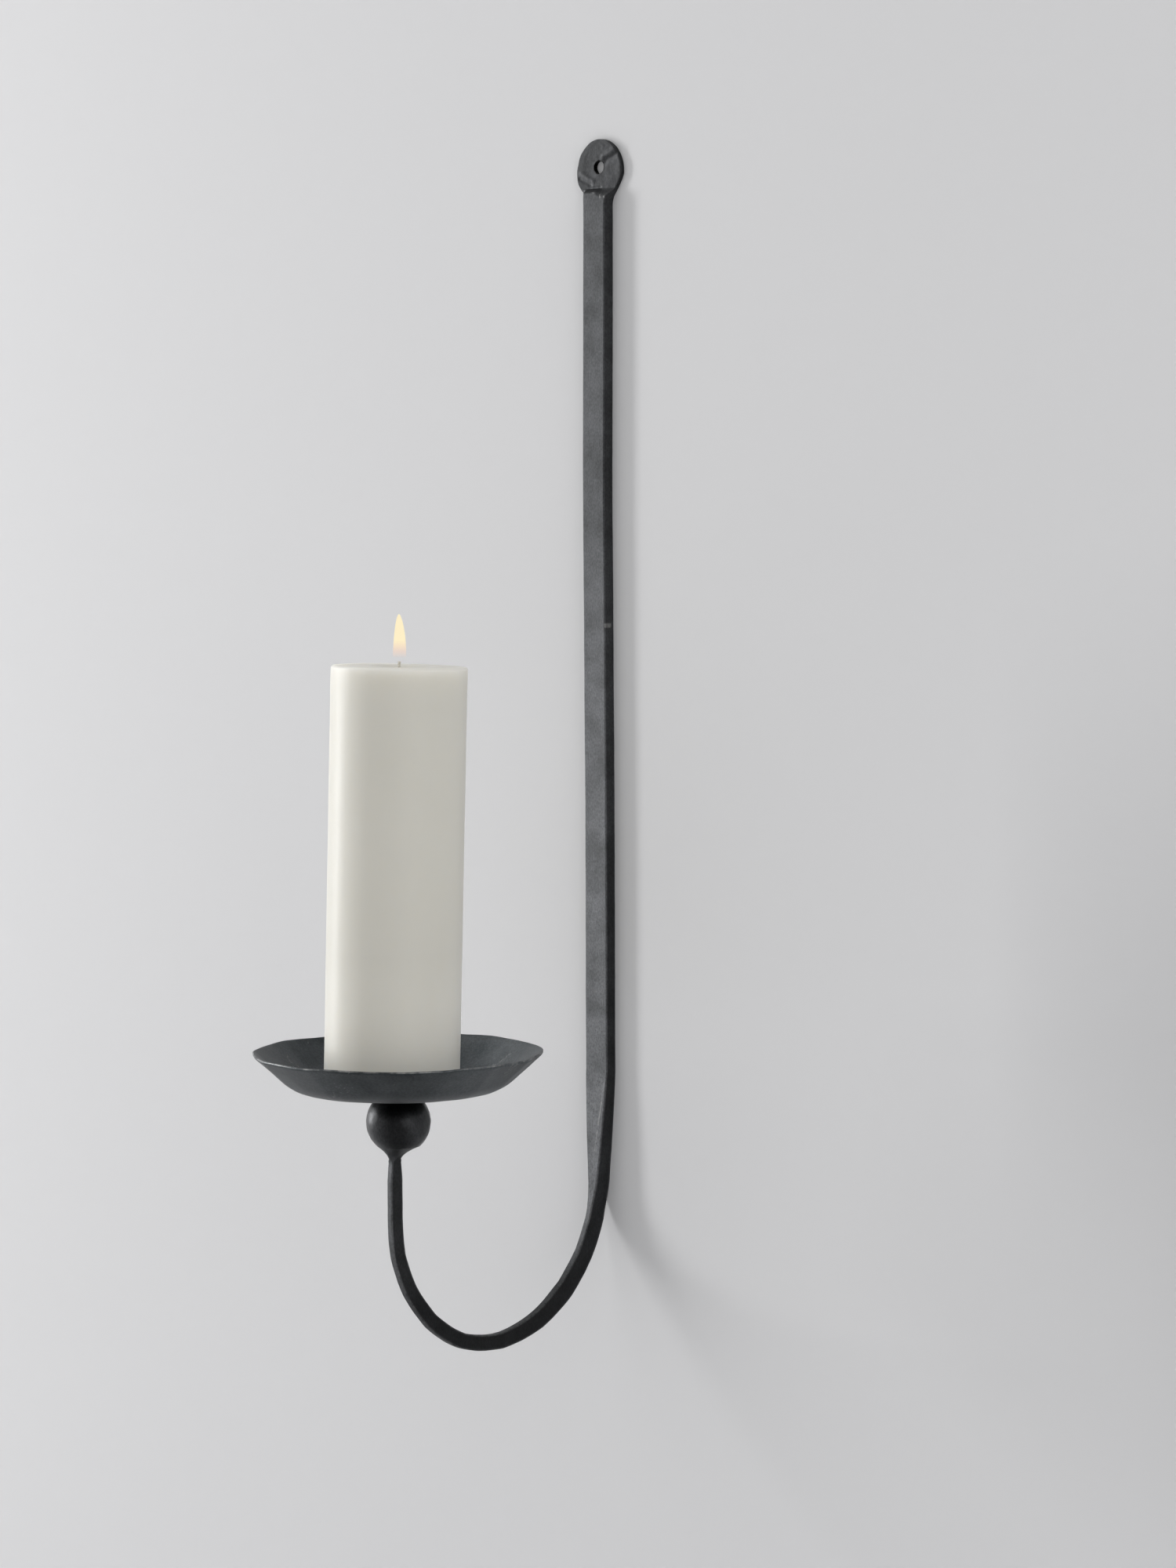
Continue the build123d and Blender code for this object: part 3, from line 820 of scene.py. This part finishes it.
def bar_lift(bar):
    """Hammer marks of the forging: deep on the eye, light down the bar, uneven along the hook."""
    foot = -bar.shoulder_drop - bar.shoulder_length

    def lift(place, normal):
        if place.y > -0.2 * MM and normal.y > 0.5:
            return 0
        on_eye = float(smooth(foot, foot + 4 * MM, place.z))
        on_hook = float(smooth(*HOOK_FADE, place.z))
        depth = bar.hammer_depth * (0.2 + 0.8 * on_eye + 0.3 * on_hook)
        moved = depth * hammer(place, bar.hammer_mark) + 0.25 * depth * noise.noise(place / (2.5 * MM))
        if on_eye > 0 and normal.y < -0.3:
            moved -= MM * float(stroked(EYE_STROKES, place.x, place.z))
        return moved

    return lift


def bar_wear_and_glints(rings):
    """Wear and painted glints of every point of the bar: a thin painted highlight along the hook's edges, and
    bright marks on its front, which are painted glints and streaks of highlight and one worn nick.
    """
    x, y, z = rings[..., 0], rings[..., 1], rings[..., 2]
    front = smooth(-1.5 * MM, -2.5 * MM, y) * (y > -30 * MM)
    return by_face(0.3, 0, 0) * smooth(*HOOK_FADE, z) + front * stroked(GLINT_AND_WEAR_STROKES, x, z)


def bar_painted_light_and_shade(rings):
    """Painted light and shade of every point of the bar. Its front is painted lighter lower down, its sides
    are painted darker, the eye and the hook are painted darker, and the rising limb is painted lighter again."""
    y, z = rings[..., 1], rings[..., 2]
    eye = smooth(-14 * MM, -10 * MM, z)
    hook = np.maximum(smooth(-540 * MM, -590 * MM, z), smooth(-20 * MM, -50 * MM, y))
    rising = smooth(-600 * MM, -570 * MM, z) * smooth(-513 * MM, -521 * MM, z)
    limb = smooth(-130 * MM, -150 * MM, y) * rising
    worn_and_lit = smooth(-100 * MM, -450 * MM, z)
    painted_shade_lower = smooth(-250 * MM, -450 * MM, z)
    front = 0.95 + 0.6 * worn_and_lit - 0.3 * eye - 0.85 * hook + 0.7 * limb
    side = (0.8 - 0.25 * painted_shade_lower) * (1 - 0.45 * eye) * (1 - 0.5 * hook + 0.25 * limb)
    return by_face(0.85, 1, 0) * front + by_face(0, 0, 1) * side


def punch_hole(piece, radius):
    """Cuts the punched wall hole, a little uneven, through the eye."""
    rows = []
    for depth in (-20 * MM, 20 * MM):
        middle = np.array((0, depth, 0))
        row = ring(middle, radius, 32, ACROSS, UP)
        uneven = np.array([1 + 0.05 * noise.noise(Vector(point) / (3 * MM)) for point in row])
        rows.append(middle + (row - middle) * uneven[:, None])
    punch = skin("wall_hole_punch", rows)
    cut = piece.modifiers.new("wall hole", "BOOLEAN")
    cut.object = punch
    cut.operation = "DIFFERENCE"
    cut.solver = "EXACT"
    holed = bpy.data.meshes.new_from_object(piece.evaluated_get(bpy.context.evaluated_depsgraph_get()))
    piece.modifiers.clear()
    piece.data = holed
    bpy.data.objects.remove(punch)


class SCONCE_OT_forged_bar(bpy.types.Operator):
    """Builds the forged bar with its eye, hook and flare"""
    bl_idname = "sconce.forged_bar"
    bl_label = "Forged bar"

    def execute(self, context):
        bar = context.scene.sconce_bar
        stations = [*eye_stations(bar), *bar_stations(bar), *strip_stations(bar), *flare_stations(bar)]
        rings = []
        for station in stations:
            points = section(station.width, station.depth, station.corner)
            rings.append(np.array(station.middle) + points[:, :1] * np.array(ACROSS)
                         + points[:, 1:] * np.array(station.outward))
        rings = np.array(rings)
        depths = np.array([station.depth for station in stations])[:, None]
        at_top = rings[..., 2] > -25 * MM
        swell = shoulder_depth(bar, rings[..., 0], rings[..., 2]) / depths
        rings[..., 1] *= np.where(at_top, swell, 1)
        piece = skin("forged_bar", rings, bar_wear_and_glints(rings), bar_painted_light_and_shade(rings))
        strike(piece, bar_lift(bar))
        punch_hole(piece, bar.hole_radius)
        iron = forged_iron("Forged_iron_blackened_waxed", context.scene.sconce_finish, 0.47, 0.55)
        finish_piece(piece, iron, "sconce", "wall_bar")
        return {"FINISHED"}


# Ball, pan and spike

SOCKET_CLEARANCE = 0.1 * MM


def lathe(profile, points):
    """Rings of a turned form about the arm's upright axis, from a profile of radius and height."""
    return [ring((ARM.x, ARM.y, height), radius, points) for radius, height in profile]


class SCONCE_OT_ball(bpy.types.Operator):
    """Builds the hammered ball under the pan"""
    bl_idname = "sconce.ball"
    bl_label = "Ball"

    def execute(self, context):
        bar = context.scene.sconce_bar
        radius = BALL_HIGH.x
        middle = BALL_LOW.z + (radius ** 2 - bar.flare_radius ** 2) ** 0.5
        socket = bar.tenon_radius + SOCKET_CLEARANCE
        sunk = bar.tenon_length + SOCKET_CLEARANCE
        lowest = np.arcsin((BALL_LOW.z - middle) / radius)
        highest = np.arcsin((BALL_HIGH.z - middle) / radius)
        profile = [(socket, BALL_LOW.z + sunk), (socket, BALL_LOW.z)]
        for turn in np.linspace(lowest, highest, 64):
            profile.append((radius * cos(turn), middle + radius * sin(turn)))
        profile += [(socket, BALL_HIGH.z), (socket, SPIKE_LOW.z - SOCKET_CLEARANCE)]
        rings = np.array(lathe(profile, 96))
        # Painted highlights on both cheeks, with painted shade between them
        away = np.abs((rings - np.array(ARM)) @ np.array(PAINTED_HIGHLIGHT_AXIS)) / radius
        piece = skin("forged_ball", rings, tone=0.22 + 0.42 * smooth(0.1, 0.75, away))

        def lift(place, normal):
            if (place - Vector((ARM.x, ARM.y, place.z))).length < bar.flare_radius:
                return 0
            return bar.ball_depth * hammer(place, bar.ball_mark) + 0.1 * MM * noise.noise(place / (2.5 * MM))

        strike(piece, lift)
        iron = forged_iron("Forged_iron_rubbed_waxed", context.scene.sconce_finish, 0.34, 0.42)
        finish_piece(piece, iron, "sconce", "ball_knop")
        return {"FINISHED"}


def pan_profile(pan):
    """Middle line of the pan's sheet as radius and height, from the bore to the rim."""
    base = PAN_LOW.z + pan.sheet / 2
    slope_out = PAN_HIGH.x - pan.sheet / 2 - pan.floor_radius
    slope_up = PAN_HIGH.z - PAN_LOW.z - pan.sheet
    slope = np.arctan2(slope_up, slope_out)
    tangent = pan.knuckle * np.tan(slope / 2)
    rows = [(radius, base) for radius in np.linspace(pan.bore, pan.floor_radius - tangent, 26)]
    for turn in np.linspace(0, slope, 12)[1:]:
        out = pan.floor_radius - tangent + pan.knuckle * sin(turn)
        rows.append((out, base + pan.knuckle * (1 - cos(turn))))
    run = np.hypot(slope_out, slope_up) - tangent
    for share in np.linspace(0, 1, 16)[1:]:
        along = tangent + run * share
        rows.append((pan.floor_radius + along * cos(slope), base + along * sin(slope)))
    return rows


def hammered_sheet(pan):
    """Middle of the pan's sheet as rings, uneven from the blows and with small flats along the rim."""
    sheet = np.array(lathe(pan_profile(pan), 240))
    away = np.hypot(sheet[..., 0] - ARM.x, sheet[..., 1] - ARM.y)
    raised = smooth(0.55 * pan.floor_radius, PAN_HIGH.x, away)
    for row, column in np.ndindex(raised.shape):
        place = Vector(sheet[row, column])
        blow = pan.hammer_depth * hammer(place, pan.hammer_mark)
        rock = pan.rim_wander * noise.noise(place / (32 * MM))
        sheet[row, column, 2] += raised[row, column] * (rock - blow)
        turn = tau * column / raised.shape[1]
        uneven = turn + 0.12 * sin(2 * turn + 1) + 0.08 * sin(3 * turn)
        flat = pan.rim_flat * dip(uneven * pan.rim_flats / tau)
        out = (place - ARM).to_2d().normalized() * raised[row, column]
        sheet[row, column, :2] += np.array(out) * (blow - flat)
    return sheet


class SCONCE_OT_drip_pan(bpy.types.Operator):
    """Builds the hammered drip pan"""
    bl_idname = "sconce.drip_pan"
    bl_label = "Drip pan"

    def execute(self, context):
        pan = context.scene.sconce_pan
        sheet = hammered_sheet(pan)
        along_rows = np.gradient(sheet, axis=0)
        along_ring = np.roll(sheet, -1, axis=1) - np.roll(sheet, 1, axis=1)
        normal = np.cross(along_rows, along_ring)
        normal /= np.linalg.norm(normal, axis=-1, keepdims=True)
        out = along_rows[-1] / np.linalg.norm(along_rows[-1], axis=-1, keepdims=True)
        half = pan.sheet / 2
        rim = [sheet[-1] + half * (normal[-1] * cos(turn) + out * sin(turn))
               for turn in np.linspace(0, pi, 7)]
        rows = np.array([*(sheet + half * normal)[:-1], *rim, *(sheet - half * normal)[:-1][::-1]])
        # The rim's crest: worn steel and a painted highlight
        wear_and_glints = np.zeros(rows.shape[:2])
        crest = len(sheet) - 1 + len(rim) // 2
        wear_and_glints[crest - 1:crest + 2] = 1
        # Painted reflections lighten it towards two ends, most on one of them, and painted shade darkens its
        # middle
        end = (rows - np.array(ARM)) @ np.array(PAINTED_HIGHLIGHT_AXIS) / PAN_HIGH.x
        tone = 0.75 + 0.25 * smooth(0.1, 0.6, np.abs(end)) + 0.3 * smooth(0.1, 0.6, end)
        piece = skin("hammered_pan", rows, wear_and_glints, tone, closed=True)
        finish_piece(piece, sheet_iron(context.scene.sconce_finish), "sconce", "drip_pan")
        return {"FINISHED"}


class SCONCE_OT_spike(bpy.types.Operator):
    """Builds the candle spike with its collar and tang"""
    bl_idname = "sconce.spike"
    bl_label = "Candle spike"

    def execute(self, context):
        bar = context.scene.sconce_bar
        pan = context.scene.sconce_pan
        floor = PAN_LOW.z + pan.sheet
        collar, edge = SPIKE_HIGH.x, pan.collar_edge
        collar_top = floor + pan.collar_height
        profile = [
            (bar.tenon_radius, SPIKE_LOW.z),
            (bar.tenon_radius, floor),
            (collar - edge, floor),
            (collar, floor + edge),
            (collar, collar_top - edge),
            (collar - edge, collar_top),
            (pan.spike_foot + edge, collar_top),
        ]
        for share in np.linspace(0, 1, 24):
            radius = blend(pan.spike_foot, pan.spike_tip, share)
            profile.append((radius, blend(collar_top + edge, SPIKE_HIGH.z, share)))
        piece = skin("candle_spike", lathe(profile, 32))

        def lift(place, normal):
            return 0.1 * MM * noise.noise(place / (3 * MM)) if place.z > collar_top else 0

        strike(piece, lift)
        iron = bpy.data.materials["Forged_iron_blackened_waxed"]
        finish_piece(piece, iron, "sconce", "pricket")
        return {"FINISHED"}


# Candle, wick and flame

CANDLE_CLEARANCE = 0.3 * MM


def candle_axes(candle):
    """Foot of the candle and its three directions: two across and one along its axis."""
    heading = Vector((cos(candle.heading), sin(candle.heading), 0))
    foot = ARM - candle.shift * heading + Vector((0, 0, CANDLE_LOW.z))
    axis = sin(candle.lean) * heading + cos(candle.lean) * UP
    across = cos(candle.lean) * heading - sin(candle.lean) * UP
    return foot, across, axis.cross(across), axis


def candle_profile(candle):
    """Outside of the candle as radius and height along its axis, from the foot up and in to the wick."""
    profile = []
    for turn in np.linspace(0, pi / 2, 5):
        inward, up = candle.foot_edge * (1 - sin(turn)), candle.foot_edge * (1 - cos(turn))
        profile.append((candle.radius - inward, up))
    for height in np.linspace(candle.foot_edge, candle.height - candle.top_edge, 90)[1:-1]:
        profile.append((candle.radius, height))
    for turn in np.linspace(0, pi / 2, 7):
        inward, down = candle.top_edge * (1 - cos(turn)), candle.top_edge * (1 - sin(turn))
        profile.append((candle.radius - inward, candle.height - down))
    for radius in np.linspace(candle.radius - candle.top_edge, 0.6 * MM, 40)[1:]:
        sunk = candle.pool_depth * float(smooth(1.15, 0.75, radius / candle.pool_radius))
        profile.append((radius, candle.height - sunk))
    return profile


class SCONCE_OT_candle(bpy.types.Operator):
    """Builds the pillar candle with its melt pool and spike hole"""
    bl_idname = "sconce.candle"
    bl_label = "Candle"

    def execute(self, context):
        candle = context.scene.sconce_candle
        pan = context.scene.sconce_pan
        foot, across, along, axis = candle_axes(candle)
        points = 160
        hole = pan.spike_foot + CANDLE_CLEARANCE
        recess = SPIKE_HIGH.x + CANDLE_CLEARANCE
        roof = CANDLE_LOW.z + pan.collar_height + CANDLE_CLEARANCE
        spike_top = SPIKE_HIGH.z + CANDLE_CLEARANCE
        rows = lathe([(hole, spike_top), (hole, roof), (recess, roof), (recess, CANDLE_LOW.z)], points)
        for radius, height in candle_profile(candle):
            row = ring(foot + axis * height, radius, points, across, along)
            # The lowest rings lie level, so that the leaning candle stands flat on the pan
            level = smooth(6 * MM, 0, height)
            rise = (CANDLE_LOW.z + height - row[:, 2:]) / axis.z
            rows.append(row + level * rise * np.array(axis))
        piece = skin("pillar_candle", rows)

        def lift(place, normal):
            if place.z < CANDLE_LOW.z + 2 * MM or abs(normal.z) > 0.9:
                return 0
            near_top = float(smooth(CANDLE_HIGH.z - 30 * MM, CANDLE_HIGH.z, place.z))
            wave = 0.12 * MM * noise.noise(place / (38 * MM))
            return wave + 0.2 * MM * near_top * noise.noise(place / (9 * MM))

        strike(piece, lift)
        finish_piece(piece, cast_wax(context.scene.sconce_finish), "candle", "candle")
        return {"FINISHED"}


class SCONCE_OT_wick(bpy.types.Operator):
    """Builds the wick, twisted from three strands"""
    bl_idname = "sconce.wick"
    bl_label = "Wick"

    def execute(self, context):
        candle = context.scene.sconce_candle
        foot, across, along, axis = candle_axes(candle)
        start = (WICK_LOW.z - foot.z) / axis.z
        length = (WICK_HIGH.z - WICK_LOW.z) / axis.z
        strands = []
        for strand in range(3):
            rows = []
            for distance in np.arange(0, length, candle.strand_pitch / 12):
                turn = tau * (distance / candle.strand_pitch + strand / 3)
                middle = foot + axis * (start + distance)
                middle += candle.strand * 0.95 * (cos(turn) * across + sin(turn) * along)
                rows.append(ring(middle, candle.strand, 8, across, along))
            strands.append(skin(f"wick_strand_{strand + 1}", rows))
        shape = bmesh.new()
        for strand in strands:
            shape.from_mesh(strand.data)
            bpy.data.objects.remove(strand)
        mesh = bpy.data.meshes.new("cotton_wick")
        shape.to_mesh(mesh)
        shape.free()
        piece = bpy.data.objects.new("cotton_wick", mesh)
        context.scene.collection.objects.link(piece)
        cotton = waxed_cotton(context.scene.sconce_finish, WICK_HIGH.z - 9 * MM, WICK_HIGH.z - 4 * MM)
        finish_piece(piece, cotton, "candle", "wick")
        return {"FINISHED"}


class SCONCE_OT_flame(bpy.types.Operator):
    """Builds the flame round the wick"""
    bl_idname = "sconce.flame"
    bl_label = "Flame"

    def execute(self, context):
        candle = context.scene.sconce_candle
        foot, across, along, axis = candle_axes(candle)
        base = foot + axis * candle.height
        rows = []
        for share in np.linspace(0.01, 0.995, 40):
            radius = candle.flame_radius * (1 - share ** 2.2) ** 0.6 * (1 - exp(-share / 0.05))
            middle = base + UP * candle.flame_height * share + ACROSS * 0.4 * MM * sin(pi * share)
            rows.append(ring(middle, radius, 32))
        piece = skin("candle_flame", rows)
        soot = glowing_soot(context.scene.sconce_finish, base.z, base.z + candle.flame_height)
        piece.data.materials.append(soot)
        piece.data.shade_smooth()
        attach(piece, "candle")
        return {"FINISHED"}


# Stage

def panel(name, corner, along, up, material):
    """Flat stage surface from one corner and its two edges."""
    mesh = bpy.data.meshes.new(name)
    mesh.from_pydata([corner, corner + along, corner + along + up, corner + up], [], [(0, 1, 2, 3)])
    mesh.materials.append(material)
    surface = bpy.data.objects.new(name, mesh)
    bpy.context.scene.collection.objects.link(surface)
    surface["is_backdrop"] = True


def soft_light(name, power, size, azimuth, height, distance):
    """Area light that faces the sconce's middle from one side."""
    light = bpy.data.lights.new(name, "AREA")
    light.shape = "RECTANGLE"
    light.size, light.size_y = size
    light.energy = power
    lamp = bpy.data.objects.new(name, light)
    aim = Vector((0, ARM.y / 2, (BAR_LOW.z + BAR_HIGH.z) / 2))
    towards = Vector((sin(azimuth) * cos(height), -cos(azimuth) * cos(height), sin(height)))
    lamp.location = aim + distance * towards
    lamp.rotation_euler = towards.to_track_quat("Z", "Y").to_euler()
    bpy.context.scene.collection.objects.link(lamp)


class SCONCE_OT_stage(bpy.types.Operator):
    """Sets the backdrop, the floor, the light and the camera"""
    bl_idname = "sconce.stage"
    bl_label = "Stage"

    def execute(self, context):
        scene = context.scene
        stage = scene.sconce_stage
        paint = matt_paint(stage)
        # The paint lies a hair in front of the bar's back
        side, top, floor, wall = 4.0, 2.5, -0.95, -0.05 * MM
        width, depth, height = 2 * side * ACROSS, -2 * side * OFF_WALL, (top - floor) * UP
        panel("wall", Vector((-side, wall, floor)), width, height, paint)
        panel("floor", Vector((-side, -side, floor)), width, depth, paint)

        away = stage.light_distance
        soft_light("key", stage.key_power, stage.key_size, stage.key_azimuth, stage.key_height, away)
        soft_light("fill", stage.fill_power, stage.fill_size, stage.fill_azimuth, stage.fill_height, away)

        scene.world = bpy.data.worlds.new("surroundings")
        scene.world.use_nodes = True
        tree = scene.world.node_tree
        tree.nodes.clear()
        path = add_node(tree, "LightPath")
        # The side that the camera stands on is the darker end of the room
        room = (sin(stage.camera_azimuth), -cos(stage.camera_azimuth), 0)
        dark_edge, dark_core = radians(55), radians(20)
        heading = add_node(tree, "TexCoord").outputs["Generated"]
        facing = add_node(tree, "VectorMath", {"operation": "DOT_PRODUCT", 1: room},
                          {0: heading}).outputs["Value"]
        strength = add_node(tree, "MapRange",
                            {"From Min": cos(dark_edge), "From Max": cos(dark_core),
                             "To Min": stage.ambient, "To Max": stage.ambient * stage.room_share},
                            {"Value": facing}).outputs[0]
        lit = add_node(tree, "Background", {"Color": stage.sky}, {"Strength": strength})
        shown = add_node(tree, "Background", {"Color": stage.sky, "Strength": 1.0})
        seen = add_node(tree, "MixShader",
                        links={0: path.outputs["Is Camera Ray"], 1: lit.outputs[0], 2: shown.outputs[0]})
        add_node(tree, "OutputWorld", links={"Surface": seen.outputs[0]})

        camera = bpy.data.objects.new("camera", bpy.data.cameras.new("camera"))
        camera.data.lens = stage.lens
        camera.matrix_world = (
            Matrix.Translation(stage.camera_place)
            @ Matrix.Rotation(stage.camera_azimuth, 4, "Z")
            @ Matrix.Rotation(pi / 2 - stage.camera_pitch, 4, "X")
            @ Matrix.Rotation(stage.camera_roll, 4, "Z")
        )
        scene.collection.objects.link(camera)
        scene.camera = camera
        scene.view_settings.view_transform = "Standard"
        return {"FINISHED"}


# Sidebar and registration

OPERATORS = (
    SCONCE_OT_forged_bar,
    SCONCE_OT_ball,
    SCONCE_OT_drip_pan,
    SCONCE_OT_spike,
    SCONCE_OT_candle,
    SCONCE_OT_wick,
    SCONCE_OT_flame,
    SCONCE_OT_stage,
)
SETTINGS = {
    "sconce_bar": BarSettings,
    "sconce_pan": PanSettings,
    "sconce_candle": CandleSettings,
    "sconce_finish": FinishSettings,
    "sconce_stage": StageSettings,
}


class SCONCE_PT_sidebar(bpy.types.Panel):
    """Lists the sconce's pieces and their settings"""
    bl_label = "Candle wall sconce"
    bl_idname = "SCONCE_PT_sidebar"
    bl_space_type = "VIEW_3D"
    bl_region_type = "UI"
    bl_category = "Sconce"

    def draw(self, context):
        for operator in OPERATORS:
            self.layout.operator(operator.bl_idname)
        for name in SETTINGS:
            settings = getattr(context.scene, name)
            box = self.layout.box()
            for key in settings.bl_rna.properties.keys():
                if key not in ("rna_type", "name"):
                    box.prop(settings, key)


def register():
    for name, group in SETTINGS.items():
        bpy.utils.register_class(group)
        setattr(bpy.types.Scene, name, bpy.props.PointerProperty(type=group))
    for kind in (*OPERATORS, SCONCE_PT_sidebar):
        bpy.utils.register_class(kind)


def unregister():
    for kind in (SCONCE_PT_sidebar, *reversed(OPERATORS)):
        bpy.utils.unregister_class(kind)
    for name, group in SETTINGS.items():
        delattr(bpy.types.Scene, name)
        bpy.utils.unregister_class(group)


def main():
    register()
    bpy.ops.sconce.forged_bar()
    bpy.ops.sconce.ball()
    bpy.ops.sconce.drip_pan()
    bpy.ops.sconce.spike()
    bpy.ops.sconce.candle()
    bpy.ops.sconce.wick()
    bpy.ops.sconce.flame()
    bpy.ops.sconce.stage()
    boxes = {"cad": CAD_BOX, "visual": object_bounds()}
    {name: [list(corner) for corner in box] for name, box in boxes.items()}


if __name__ == "__main__":
    main()
